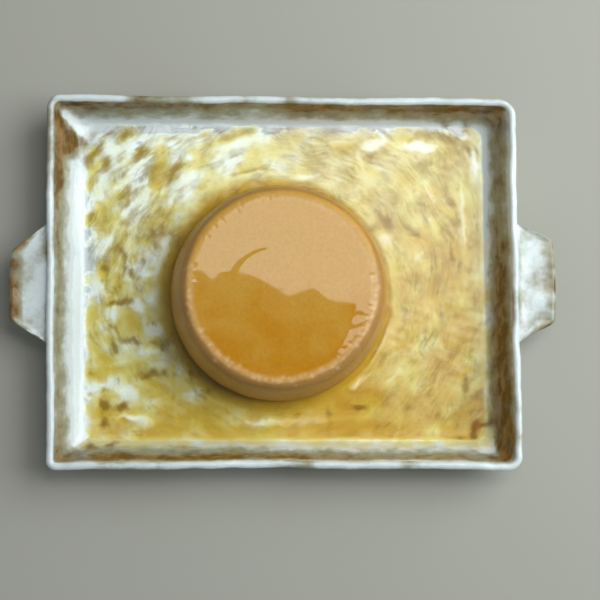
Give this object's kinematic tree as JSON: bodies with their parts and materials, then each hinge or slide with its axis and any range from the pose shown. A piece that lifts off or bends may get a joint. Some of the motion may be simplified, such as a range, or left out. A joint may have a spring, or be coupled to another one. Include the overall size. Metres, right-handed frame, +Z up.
{
  "type": "caramel pudding",
  "caption": "Round custard pudding with a caramel top, turned out onto a shallow rectangular stoneware dish with tab handles, in a thin pool of caramel.",
  "frame": {"origin": "middle of the dish's box, on the surface that the dish stands on", "axes": "+X towards the right-hand tab handle, along the dish's length; +Y towards the far long side; +Z up"},
  "size_m": [0.363, 0.2494, 0.051],
  "materials": {
    "glazed_stoneware": "white brushed slip over brown clay, glossy clear glaze",
    "custard": "moist baked custard with a caramel-soaked, glossy top",
    "caramel_syrup": "clear amber syrup, wet gloss"
  },
  "bodies": {
    "root": {"dish": "glazed_stoneware", "pudding": "custard", "caramel": "caramel_syrup"}
  },
  "joints": []
}
